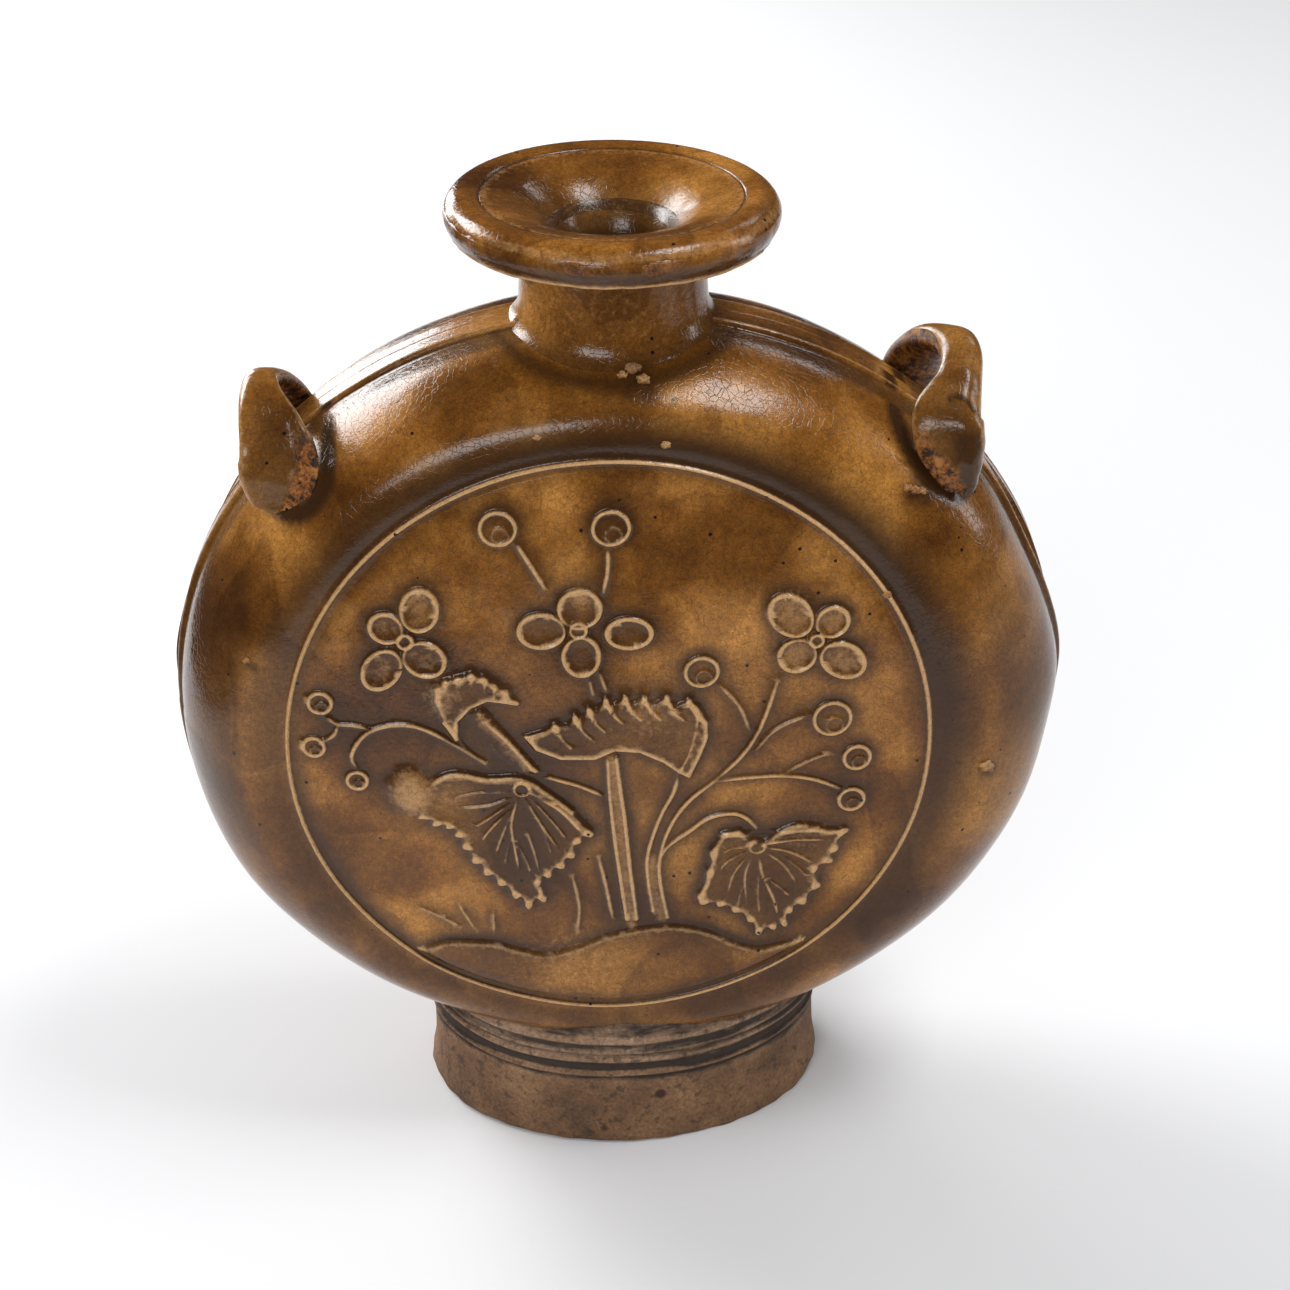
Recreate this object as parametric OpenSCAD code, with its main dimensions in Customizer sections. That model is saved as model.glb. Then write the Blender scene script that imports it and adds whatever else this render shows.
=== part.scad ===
/* [Body] */
// Width of the disc-shaped body across its rim
body_w = 200; // [170:1:230]
// Height of the body, a little under its width because the clay settled
body_h = 184; // [170:1:200]
// Thickness of the body across the edges of its two medallions
body_t = 66; // [58:1:72]
// Height of the body's centre above the surface that the flask stands on
body_z = 111; // [106:1:120]
// Thickness of the pressed clay wall
wall = 6; // [4:0.5:8]
// Width of the flat band round the rim, where the two shells meet
band_w = 11; // [8:0.5:14]
// How far the fine ridge on each edge of the band stands up
ridge_h = 0.6; // [0.3:0.1:1]

/* [Medallion] */
// Radius of the raised ring round each medallion, at its middle
ring_r = 70.5; // [66:0.5:73]
// Thickness of the round bead that makes the raised ring, half sunk in the body
ring_w = 1.6; // [1:0.1:3]
// How far the middle of the medallion bulges past its edge
dome_h = 3.5; // [2:0.5:5]
// How far to the left of the body's middle the medallion was pressed
medallion_shift = 2.8; // [0:0.1:4]
// Height of the ornament over the medallion
relief_h = 1.2; // [0.6:0.1:2]

/* [Neck and mouth] */
// Outer radius of the neck at its waist
neck_r = 20; // [18:0.5:22]
// Radius of the throat, the narrowest place on the way in
throat_r = 9.5; // [8:0.5:11]
// Length of the throat
throat_l = 6; // [4:0.5:8]
// Outer radius of the mouth dish at its rolled rim
dish_r = 35.2; // [32:0.2:38]
// Radius of the roll along the rim
roll_r = 4.4; // [3.5:0.1:5]
// Height of the dish from its overhanging lower edge to the top of its rim
dish_h = 8.4; // [7.5:0.1:10]
// Height of the neck, from the top of the body to the dish's overhanging lower edge
neck_h = 16.6; // [12:0.2:24]

/* [Lugs] */
// How far the middle of each lug lies inside the body's side
lug_in = 26.5; // [22:0.5:30]
// Width of a lug's strap where it is pressed on the shoulder
pad_w = 17; // [14:0.5:20]
// Width of a lug's strap at the top of its arch
arch_w = 10.5; // [8:0.5:13]
// Thickness of a lug's strap
strap_t = 6.5; // [5:0.5:8]
// Outer radius of a lug's arch, from front to back
arch_r = 24; // [22:0.5:27]
// How far the centre of the left lug's arch lies under the rim there
left_sink = 5.4; // [2:0.2:7]
// How far the centre of the right lug's arch lies under the rim there
right_sink = 2.4; // [1:0.2:5]

/* [Foot] */
// Length of the oval foot at the floor, from side to side
foot_l = 96; // [88:1:106]
// Depth of the oval foot at the floor, from front to back
foot_d = 70; // [67:0.5:80]
// How far the foot's lip stands out past its wall at the floor
foot_flare = 0.8; // [0.4:0.1:1.5]
// Height of the foot at the front, where the body's swell hides in it
foot_h = 38; // [32:1:42]
// Thickness of the foot's wall
foot_wall = 7; // [5:0.5:9]

/* [Hidden] */
$fn = 96;

squat = body_h / body_w;
rim_r = body_w / 2;
face_y = body_t / 2;
shoulder_r = ring_r + 2;
groove = 1;
ridge_w = 0.9;
lobe_y = band_w / 2 + ridge_w;
ball_r = (ring_r * ring_r + dome_h * dome_h) / (2 * dome_h);
body_top = body_z + body_h / 2;
burr_z = body_top + neck_h;
flask_h = burr_z + dish_h;
roll_z = flask_h - roll_r;
throat_top = burr_z - 0.57 * neck_h;
lug_x = rim_r - lug_in;
lug_z = body_z + squat * sqrt(rim_r * rim_r - lug_x * lug_x);
// The ornament is drawn for a ring of this radius, and scaled to fit the real one
drawn_r = 70.5;
funnel_r = dish_r - 1.8 * roll_r;
lip_h = 5;
turn_gap = 3.5;
turn_h = 1;
step = 9;

// Points of a quarter of an ellipse, from its end on the r axis to its end on the y axis
function quarter(r0, r1, y0, y1) =
    [for (a = [0 : step : 90]) [r1 + (r0 - r1) * cos(a), y0 + (y1 - y0) * sin(a)]];
function reversed(list) = [for (i = [len(list) - 1 : -1 : 0]) list[i]];
function mirrored(list) = [for (p = list) [p[0], -p[1]]];

// The outer edge of one shell, from the middle of the band to the rim of the medallion
function outer_edge() = concat(
    [[rim_r, 0], [rim_r, band_w / 2 - ridge_w], [rim_r + ridge_h, band_w / 2 - ridge_w / 3],
     [rim_r + ridge_h, band_w / 2 + ridge_w / 3]],
    quarter(rim_r - groove, shoulder_r, lobe_y, face_y));

// Each body form lies on its back here, with its middle at the origin
module disc() {
    scale([1, squat, 1])
        rotate_extrude($fn = 240)
            children();
}
module upright() {
    translate([0, 0, body_z])
        rotate([90, 0, 0])
            children();
}
// The body as a filled disc, to trim what is luted on it
module body_form() {
    upright()
        disc()
            polygon(concat(
                [[0, -face_y]], reversed(mirrored(outer_edge())), outer_edge(), [[0, face_y]]));
}
// Height of the medallion's swell at radius r, and its profile from the edge to the middle
function swell_y(r) = face_y + dome_h - ball_r + sqrt(ball_r * ball_r - r * r);
function swell(lift, r0) = [for (i = [8 : -1 : 0]) [r0 * i / 8, swell_y(r0 * i / 8) + lift]];
module half_body() {
    disc()
        polygon(concat(
            outer_edge(), [[0, face_y], [0, face_y - wall]],
            reversed(quarter(rim_r - wall, shoulder_r - wall, 0, face_y - wall))));
    translate([-medallion_shift, 0, 0])
        rotate_extrude($fn = 240)
            polygon(concat([[0, face_y - 1], [ring_r, face_y - 1]], swell(0, ring_r)));
    translate([-medallion_shift, 0, face_y])
        rotate_extrude($fn = 240)
            translate([ring_r, 0])
                circle(d = ring_w, $fn = 24);
}
module shell() {
    difference() {
        upright()
            half_body();
        translate([0, 0, body_top - 2 * wall])
            cylinder(r = throat_r + 3, h = 3 * wall);
    }
}

// Points of a bowed line from a to c that leans towards b
function bowed(a, b, c) =
    [for (t = [0 : 0.125 : 1]) (1 - t) * (1 - t) * a + 2 * t * (1 - t) * b + t * t * c];
function side(line, i, w) =
    let (a = line[max(i - 1, 0)], b = line[min(i + 1, len(line) - 1)], d = (b - a) / norm(b - a))
    line[i] + [-d[1], d[0]] * w / 2;
// A stalk of even width along a bowed line
module stalk(a, b, c, w = 1.8) {
    line = bowed(a, b, c);
    polygon(concat(
        [for (i = [0 : len(line) - 1]) side(line, i, w)],
        [for (i = [len(line) - 1 : -1 : 0]) side(line, i, -w)]));
}
// A bud is a small ring round an eye
module bud(place, r) {
    translate(place) {
        difference() {
            circle(r = r, $fn = 32);
            circle(r = r - 1.1, $fn = 32);
        }
        translate([0, -r / 5])
            circle(r = r / 3, $fn = 24);
    }
}
// A flower has petals round an eye, each given by its direction, reach and width
module flower(place, petals) {
    translate(place) {
        circle(r = 2, $fn = 24);
        for (petal = petals)
            rotate(petal[0])
                translate([petal[1], 0])
                    scale([0.85, 1])
                        circle(d = petal[2], $fn = 32);
    }
}
// A leaf is drawn by its tips, with a notch cut between each two of them towards the eye
module leaf(eye, tips, notch = 0.12) {
    difference() {
        polygon([for (i = [0 : len(tips) - 1])
            let (mid = (tips[i] + tips[(i + 1) % len(tips)]) / 2)
            each [tips[i], mid + notch * (eye - mid)]]);
        translate(eye)
            circle(r = 1, $fn = 24);
    }
}
module stalks() {
    stalk([-18, 52], [-16, 47], [-13, 42]);
    stalk([0.5, 51], [0.5, 46], [-1, 41]);
    stalk([-4, 23], [-4, 20], [-3, 16]);
    stalk([-1.5, 23], [-1, 20], [0, 17]);
    stalk([23, 18], [28, 14], [30.5, 6]);
    stalk([-57.5, -2], [-52, 19], [-38, 7], 2);
    stalk([-39.5, 8.2], [-34, 5], [-27, -1], 2);
    stalk([-59.5, 9], [-56, 6], [-52.4, 8.9], 1.4);
    stalk([-28, 12], [-22, 6], [-17, -3], 4);
    stalk([0, 0], [1.5, -20], [4, -47], 3.4);
    stalk([16, -3], [5, -22], [9, -47]);
    stalk([23, -6.5], [8, -20], [12, -47]);
    stalk([23, -6.5], [31, 0], [35.5, 19.5]);
    stalk([32, 2], [37, 7], [44, 9], 1.4);
    stalk([23, -6.5], [40, -4], [50, -11]);
    stalk([37, -6.5], [43, -3], [50, -1.5], 1.4);
    stalk([10, -30], [16, -12], [31, -18.5]);
    stalk([-14, -5], [-7, -6], [-2, -9]);
    stalk([-3, -26], [0, -36], [0, -50], 1.4);
    stalk([-9, -31], [-7, -40], [-9, -52], 1.4);
    stalk([-44, -40], [-40, -44], [-34, -47], 1.4);
    stalk([-35, -39], [-33, -43], [-31, -49], 1.4);
    stalk([-27, -42], [-27.5, -46], [-27, -50], 1.4);
    stalk([41, 19], [39, 21], [37, 18], 1.4);
}
module mound() {
    intersection() {
        circle(r = drawn_r - 0.8, $fn = 180);
        polygon([[-58, -52], [-50, -52], [-42, -51], [-34, -49.5], [-27, -50.5], [-15, -54],
                 [-9, -52.5], [-1, -48.5], [8, -46.5], [15, -46.5], [22, -48.5], [33, -54],
                 [41, -53], [58, -48], [58, -75], [-58, -75]]);
    }
}
module blooms() {
    bud([-22.5, 56], 4);
    bud([1, 55.5], 4);
    bud([20, 21], 3.9);
    bud([48.5, 8], 4.2);
    bud([54.5, -2.5], 3.2);
    bud([53.5, -13.5], 3.2);
    bud([-62, 14], 2.9);
    bud([-64.5, 3.5], 2.7);
    bud([-55.5, -5], 2.7);
    flower([-6, 32.5], [[85, 5, 4.8], [180, 8, 5], [-7, 10, 4.8], [268, 6.5, 4.4]]);
    flower([-43.5, 30], [[62, 8, 5], [145, 5, 4], [232, 9, 5], [312, 6, 5]]);
    flower([44.5, 27.5], [[130, 8.5, 5], [52, 5.5, 4], [218, 5.5, 4.4], [320, 8, 5]]);
    translate([-45, -6.5])
        circle(r = 4, $fn = 24);
}
module leaves() {
    leaf([-19.5, -7.5], [[-42, -14.5], [-38, -4.5], [-27, -3.5], [-19.5, -4], [-11, -9.5], [-4.5, -19.5],
                         [-8.5, -26], [-14, -31], [-16, -38], [-22, -37.5], [-28.5, -31], [-33, -23],
                         [-37, -17]]);
    leaf([32.5, -25], [[53, -21.5], [42, -19], [36, -22], [28.5, -20], [22.5, -24], [21.5, -31],
                       [19.5, -39], [26, -42], [33.5, -50.5], [40, -47.5], [47, -38], [50.5, -28]]);
    leaf([0, 5], [[-18.5, 6.5], [-14, 7.5], [-6, 11], [0.5, 14.5], [9, 14], [17, 12], [21, 7], [17.5, -5],
                  [12, -1], [1, 2.5], [-11, 0.5], [-16, 3]], 0.06);
    leaf([-28, 15], [[-38, 15.5], [-35.5, 20.5], [-29.5, 22], [-24.5, 19.5], [-20, 14.5], [-28, 13.5],
                     [-33, 7]], 0.04);
}
// The ornament stands on the medallion's swell as a layer of even height
module relief(lift) {
    inner_r = ring_r - ring_w / 2;
    intersection() {
        rotate_extrude($fn = 60)
            polygon(concat(swell(lift, inner_r), reversed(swell(0, inner_r))));
        translate([0, 0, face_y - 1])
            linear_extrude(height = dome_h + lift + 2)
                scale(ring_r / drawn_r)
                    children();
    }
}
module ornament() {
    upright()
        translate([-medallion_shift, 0, 0])
            relief(relief_h) {
                stalks();
                mound();
                blooms();
                leaves();
            }
}

// A lug is a strap arched from the front shoulder over the rim to the back one
module arch() {
    rotate([90, 0, 90])
        translate([0, 0, -pad_w])
            linear_extrude(height = 2 * pad_w) {
                difference() {
                    circle(r = arch_r);
                    circle(r = arch_r - strap_t);
                    translate([-arch_r, -2 * arch_r])
                        square(2 * arch_r);
                }
                for (s = [-1, 1])
                    translate([s * (arch_r - strap_t / 2) - strap_t / 2, -arch_r])
                        square([strap_t, arch_r]);
            }
}
// Seen from the front a lug is a tongue, round and wide below and narrow at the top
module tongue() {
    drop = pad_w / 2 - 5;
    rise = arch_r - arch_w / 2;
    rotate([90, 0, 0])
        translate([0, 0, -2 * arch_r])
            linear_extrude(height = 4 * arch_r) {
                translate([0, drop])
                    circle(d = pad_w);
                translate([0, rise])
                    circle(d = arch_w);
                polygon([[-pad_w / 2, drop], [pad_w / 2, drop], [arch_w / 2, rise], [-arch_w / 2, rise]]);
            }
}
module lug(x, z) {
    difference() {
        translate([x, 0, z])
            intersection() {
                arch();
                tongue();
            }
        body_form();
    }
}

module front_shell() {
    color("saddlebrown")
        shell();
}
module back_shell() {
    color("sienna")
        rotate([0, 0, 180])
            shell();
}
module front_ornament() {
    color("peru")
        ornament();
}
module back_ornament() {
    color("peru")
        rotate([0, 0, 180])
            ornament();
}
module left_lug() {
    color("darkgoldenrod")
        lug(-lug_x, lug_z - left_sink);
}
module right_lug() {
    color("darkgoldenrod")
        lug(lug_x, lug_z - right_sink);
}
module neck() {
    hole_r = throat_r + 3;
    throat_z = throat_top - throat_l;
    flare = 2.5;
    color("chocolate")
        difference() {
            rotate_extrude()
                polygon(concat(
                    [[hole_r, body_top - 3 * wall], [neck_r + flare, body_top - 3 * wall],
                     [neck_r + flare, body_top - 4], [neck_r + 1, body_top + 1],
                     [neck_r, body_top + 4], [neck_r, burr_z - 2], [neck_r + 0.8, burr_z],
                     [funnel_mid(), burr_z]],
                    [for (a = [75 : -15 : 0]) [throat_r + (funnel_mid() - throat_r) * (1 - cos(a)) / (1 - cos(75)),
                                               throat_top + (burr_z - throat_top) * sin(a) / sin(75)]],
                    [[throat_r, throat_z], [hole_r, throat_z]]));
            body_form();
        }
}
function funnel_mid() = throat_r + 6.5;
module mouth_dish() {
    color("goldenrod")
        rotate_extrude()
            union() {
                translate([dish_r - roll_r, roll_z])
                    circle(r = roll_r, $fn = 48);
                polygon([[funnel_mid(), burr_z], [dish_r - 1.6, burr_z], [dish_r - 0.2, roll_z - 1],
                         [dish_r - roll_r, roll_z], [funnel_r, flask_h - 0.9], [funnel_r - 2, flask_h - 1.4],
                         [funnel_r - 5.5, flask_h - 3.2]]);
            }
}
// A slab of oval outline, l long and d deep
module oval(l, d, h) {
    linear_extrude(height = h)
        scale([1, d / l])
            circle(d = l, $fn = 240);
}
module foot_ring() {
    side_z = body_z - squat * sqrt(rim_r * rim_r - foot_l * foot_l / 4);
    color("tan")
        difference() {
            union() {
                oval(foot_l - 2 * foot_flare, foot_d - 2 * foot_flare, foot_h);
                oval(foot_l, foot_d, lip_h);
                for (i = [1 : 3])
                    translate([0, 0, foot_h - i * turn_gap])
                        oval(foot_l - 2 * foot_flare + turn_h, foot_d - 2 * foot_flare + turn_h, turn_gap / 3);
            }
            translate([0, 0, -1])
                oval(foot_l - 2 * foot_wall, foot_d - 2 * foot_wall, foot_h + 2);
            body_form();
            // The body's band crosses the foot's ends at this height, and no clay is left over it
            translate([-foot_l, -lobe_y - 2, side_z])
                cube([2 * foot_l, 2 * lobe_y + 4, foot_h]);
        }
}

front_shell();
back_shell();
neck();
mouth_dish();
left_lug();
right_lug();
foot_ring();
front_ornament();
back_ornament();
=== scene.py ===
import bpy
import numpy as np
from math import cos, pi, radians, sin
from mathutils import Matrix, Vector


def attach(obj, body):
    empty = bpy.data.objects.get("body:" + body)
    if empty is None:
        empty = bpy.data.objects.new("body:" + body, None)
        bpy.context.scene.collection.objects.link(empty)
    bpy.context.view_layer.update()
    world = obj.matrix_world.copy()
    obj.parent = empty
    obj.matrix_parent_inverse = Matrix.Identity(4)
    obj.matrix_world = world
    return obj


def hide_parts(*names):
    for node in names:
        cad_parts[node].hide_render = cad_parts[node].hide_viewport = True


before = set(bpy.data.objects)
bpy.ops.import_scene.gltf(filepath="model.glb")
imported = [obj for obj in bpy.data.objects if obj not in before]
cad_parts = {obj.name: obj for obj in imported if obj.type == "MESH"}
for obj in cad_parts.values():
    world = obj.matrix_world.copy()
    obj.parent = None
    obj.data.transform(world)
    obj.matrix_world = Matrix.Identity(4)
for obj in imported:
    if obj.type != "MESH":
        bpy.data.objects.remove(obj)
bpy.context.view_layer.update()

# The camera looks down at the front by thirty degrees with a lens of 70 mm, as the flask was
# photographed: a little off the flask's axis, and turned by less than half a degree.
PITCH = 30.33  # degrees
DISTANCE = 0.5742  # metres from the point that it is aimed at
AIM_X = 0.00619  # which lies this far to the right of the axis
AIM_Z = 0.11843  # and this high over the table
swing = Matrix.Rotation(radians(-1.98), 4, "Z")
tip_down = Matrix.Rotation(radians(90 - PITCH), 4, "X")
roll = Matrix.Rotation(radians(-0.41), 4, "Z")
lens = bpy.data.cameras.new("camera")
lens.lens = 69.77
lens.sensor_width = 36
lens.clip_start = 0.01
camera = bpy.data.objects.new("camera", lens)
bpy.context.scene.collection.objects.link(camera)
tripod = Vector((AIM_X, -DISTANCE * cos(radians(PITCH)), AIM_Z + DISTANCE * sin(radians(PITCH))))
camera.matrix_world = swing @ Matrix.Translation(tripod) @ tip_down @ roll
bpy.context.scene.camera = camera

# The two shells are stoneware, pressed in one shallow round mould with the lotus pond cut into it,
# then joined edge to edge in the flat band round the rim. A wash of slip hid the seam, and the whole
# body was dipped in a tea-brown glaze that runs thin over the relief and pools beside it.
CENTRE_Z = 111.0  # height of the disc's middle over the table, in mm as all that follows
SHIFT = -2.8  # the medallion's middle lies this far beside the disc's
BRIM = 68.3  # the medallion's own piece ends here, just inside the raised ring
RING = 70.5  # radius of the raised ring
SWELL = 3.5  # height of the medallion's middle over the ring
HALF_DEPTH = 33.0  # from the seam to the ring
FLAT = 73.0  # the shoulder begins here
ROUND = 26.0  # how far the shoulder reaches outwards
FALL = 26.6  # and how far it falls back towards the seam
BAND = 6.4  # half the width of the band round the rim
SQUAT = 0.08  # the share by which the disc is lower than it is wide
STEP = 0.22  # the relief is worked out on a grid with this step
EDGE = 84  # which reaches this far each way from the medallion's middle
RING_STEP = 0.01  # each ring of a shell is made this much wider than the last, and placed later


def near_line(x, z, points, closed=False):
    """Distance from each place to a line through the points, and how far along it the place lies"""
    far = np.full(x.shape, 1e9)
    along = np.zeros(x.shape)
    points = [np.array(p, float) for p in points]
    ends = points[1:] + (points[:1] if closed else [])
    for i, (a, b) in enumerate(zip(points, ends)):
        d = b - a
        t = np.clip(((x - a[0]) * d[0] + (z - a[1]) * d[1]) / max(d @ d, 1e-9), 0, 1)
        here = np.hypot(x - a[0] - t * d[0], z - a[1] - t * d[1])
        along = np.where(here < far, (i + t) / len(ends), along)
        far = np.minimum(far, here)
    return far, along


def inside(x, z, points):
    """True for each place inside the outline"""
    odd = np.zeros(x.shape, bool)
    for (ax, az), (bx, bz) in zip(points, points[1:] + points[:1]):
        if az != bz:
            odd ^= ((az > z) != (bz > z)) & (x < (bx - ax) * (z - az) / (bz - az) + ax)
    return odd


def smooth(t):
    """From 0 to 1 without a kink at either end"""
    t = np.clip(t, 0, 1)
    return t * t * (3 - 2 * t)


def curve_through(points, steps=6):
    """The points with smooth bows between them"""
    p = [np.array(q, float) for q in points]
    p = [2 * p[0] - p[1]] + p + [2 * p[-1] - p[-2]]
    line = []
    for i in range(1, len(p) - 2):
        for k in range(steps):
            t = k / steps
            line.append(0.5 * (2 * p[i] + (p[i + 1] - p[i - 1]) * t
                               + (2 * p[i - 1] - 5 * p[i] + 4 * p[i + 1] - p[i + 2]) * t * t
                               + (3 * p[i] - p[i - 1] - 3 * p[i + 1] + p[i + 2]) * t ** 3))
    return [tuple(q) for q in line] + [tuple(p[-2])]


# Bowed stalks and blades of grass: places from the medallion's middle in mm, width and height
STALKS = [
    ([(-19, 53), (-16.5, 48.5), (-13, 42)], 1.5, 0.5),
    ([(0.2, 51.5), (0, 46), (-1, 41)], 1.5, 0.5),
    ([(-4.5, 21.5), (-3.5, 16.5)], 1.1, 0.4),
    ([(-2.4, 23), (-0.7, 17.5)], 1.1, 0.4),
    ([(23.6, 18), (28, 12.5), (30.5, 6)], 1.5, 0.4),
    ([(-55.5, -2), (-56.5, 1), (-55, 4.5), (-52, 7.6), (-46.8, 9.2), (-41.4, 8.6), (-35, 5), (-27, -1)],
     1.5, 0.5),
    ([(-62, 11.5), (-59, 9.3), (-55.5, 9), (-52, 8.2)], 1.3, 0.45),
    ([(-63, 4.5), (-60, 6.5), (-59, 9)], 1.3, 0.45),
    ([(-29, 13), (-26, 9), (-22, 4.5), (-16.5, -3)], 1.3, 0.35),
    ([(-33.5, 7), (-32, 4), (-30, 1.5)], 1.1, 0.3),
    ([(-0.8, 0), (-0.4, -10), (0.5, -21), (1.8, -33), (3, -44)], 1.3, 0.6),
    ([(1.4, 0.6), (2.2, -8), (3, -15), (4.2, -30), (5.6, -44)], 1.3, 0.6),
    ([(15, -3.7), (13.9, -9), (11.6, -14), (10, -18.3), (8.2, -25), (7.9, -31), (9.2, -42)], 1.3, 0.6),
    ([(22.7, -6.7), (17.2, -11.8), (13.5, -17.6), (11.2, -24.4), (10.6, -32), (12.4, -44)], 1.4, 0.6),
    ([(22.7, -6.7), (28, -1.2), (31.4, 3.8), (34, 10), (36.6, 19)], 1.4, 0.5),
    ([(31.5, 0.7), (36.2, 6), (43.5, 9.4)], 1.3, 0.4),
    ([(22.7, -6.7), (30, -6), (38.3, -6), (45, -7.5), (51, -10.5)], 1.3, 0.5),
    ([(37, -6), (43.7, -2.5), (49.2, -0.5)], 1.1, 0.35),
    ([(10, -29), (12.4, -24), (17.3, -20), (21.7, -16.6), (26.8, -15.6), (30, -17), (32.4, -20)], 1.4, 0.6),
    ([(-13.5, -4.6), (-7.2, -6.7), (-2, -9.4)], 1.3, 0.5),
    ([(-3, -26), (-1.5, -34), (0, -44)], 1.5, 0.45),
    ([(-9, -31), (-7.6, -40), (-8.2, -48)], 1.2, 0.4),
    ([(-44.5, -40), (-39, -43), (-34.5, -46)], 1.2, 0.35),
    ([(-35, -39), (-31.3, -47)], 1.1, 0.35),
    ([(-27.2, -42), (-27.2, -47)], 1.1, 0.35),
]
# Petals: middle, half length, half width, and the way that each points in degrees
PETALS = [
    ((-6, 37.3), 4.6, 4.8, 90), ((-14.2, 32.2), 5.3, 4.3, 180), ((4.4, 31.3), 5.2, 3.8, 0),
    ((-5.9, 26), 5, 4.2, 90),
    ((-39.9, 37.2), 5.2, 4.2, 80), ((-47.2, 33), 3.9, 3.7, 150), ((-48.6, 23), 5.6, 4, 55),
    ((-39.4, 25.6), 4.9, 4.3, -30),
    ((38.9, 34), 5.8, 4.4, 130), ((47.9, 32), 3.9, 3.7, 45), ((40.5, 24.3), 4.4, 4.2, 40),
    ((50.4, 22.6), 5.6, 4.2, -35),
]
EYES = [((-6.4, 32.4), 2.1), ((-43.3, 30), 2), ((44.6, 27.8), 1.8)]
BUDS = [((-22.7, 56.2), 4.1), ((0.9, 55.8), 4.2), ((19.9, 21.4), 3.9), ((48.6, 8), 4.4),
        ((54.4, -2.5), 3.3), ((53.5, -13.5), 3.2), ((-62.5, 14.5), 2.9), ((-64.6, 3.4), 2.7),
        ((-55.6, -5), 2.6)]
# Outlines of the leaves, from tip to tip
LEFT_LEAF = [
    (-42.4, -14.8), (-41.3, -8), (-38, -4.4), (-33.6, -3), (-27, -4.4), (-19.5, -4.4), (-13.6, -8.6),
    (-8.5, -13.3), (-4.4, -19.7), (-7, -21.6), (-8.6, -25.6), (-11, -28.6), (-14.2, -31.2), (-16.3, -33.2),
    (-15.4, -38.2), (-19, -40.2), (-22, -37.1), (-25.3, -33.4), (-28.4, -30.4), (-31, -27),
    (-33, -23), (-34.6, -19.6), (-36.6, -17.4), (-39.4, -16.8),
]
RIGHT_LEAF = [
    (28.5, -20.2), (24.7, -21), (22.2, -25.8), (21.4, -31.3), (19.4, -38.2), (20.3, -40.3), (24.2, -41.2),
    (27.7, -43.2), (31.2, -46.3), (33.4, -50.4), (37, -49.1), (39.6, -48.2), (40.8, -44.2), (43.8, -41.9),
    (47, -37.3), (46.4, -32.3), (49.6, -30.4), (50.8, -27), (52.8, -21.8), (47, -21), (41.9, -19.4),
    (37.5, -21.2), (34.6, -23.6), (32.4, -23.4),
]
FURLED_LEAF = [
    (-18.3, 6.2), (-14.3, 7.6), (-12, 9.2), (-9.1, 9), (-7.6, 11.4), (-5.9, 10.9), (-4.6, 13.2),
    (-2.7, 12.9), (-0.8, 15.4), (0.9, 13.9), (3.4, 15.9), (5.1, 13.8), (7.6, 15.8), (9.2, 13.5),
    (12.4, 15.6), (14.2, 13), (17.2, 14.6), (19, 12.8), (21, 8.9), (21.1, 5), (19.4, 0), (17.2, -5),
    (15, -3.7), (11.8, -0.9), (6.4, 2.1), (1, 2.7), (-3.4, 0.5), (-10.8, 0.6), (-16.1, 3),
]
# Veins and their heights
LEFT_VEINS = [
    ([(-20.6, -9.5), (-22.2, -16.4), (-21.6, -23), (-20.9, -29)], 0.45),
    ([(-21.8, -12.5), (-24.4, -19.7), (-26, -24.5)], 0.36), ([(-22.8, -13), (-27, -18), (-29, -21)], 0.36),
    ([(-22.6, -11.2), (-27.4, -15.2), (-31, -17.6)], 0.32),
    ([(-22.2, -9.4), (-27, -11.5), (-34, -12.2)], 0.34),
    ([(-22.4, -8), (-28.7, -8), (-36, -10)], 0.3), ([(-18.8, -10), (-15.7, -16.4), (-11.8, -23.5)], 0.36),
    ([(-17.6, -9.6), (-13.1, -15.8), (-9.8, -21)], 0.34), ([(-16.4, -8.8), (-11, -13), (-6.2, -19.2)], 0.4),
    ([(-18.9, -18), (-17.4, -24), (-16.4, -29)], 0.32),
    ([(-21.2, -21), (-19.2, -26.5), (-18.2, -30)], 0.28),
    ([(-22, -19), (-23.4, -24), (-24, -27.5)], 0.26),
    ([(-16.4, -14.5), (-14.6, -20), (-13.4, -25.5)], 0.26),
]
RIGHT_VEINS = [
    ([(33, -27), (34, -33), (36.6, -40), (37.8, -45)], 0.42), ([(31.6, -27), (30, -33), (30.5, -41)], 0.36),
    ([(31, -26.6), (27.5, -32), (26, -38)], 0.34), ([(30.6, -25.8), (26, -28.5), (23.4, -31.5)], 0.32),
    ([(30.6, -24.8), (27, -25), (24, -26.5)], 0.3), ([(34.4, -26.2), (39, -31), (42, -36.5)], 0.36),
    ([(34.6, -25), (40, -27), (45.5, -30.5)], 0.38), ([(34.6, -24), (41, -23.6), (48, -24)], 0.38),
    ([(34.8, -34), (38.5, -37.5), (40.6, -40)], 0.28), ([(29.8, -35), (28.8, -39), (28.4, -42)], 0.28),
    ([(38, -27.6), (42, -31.6), (44.6, -34.6)], 0.26), ([(33.4, -31), (33, -38), (33.6, -45)], 0.26),
]
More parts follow.
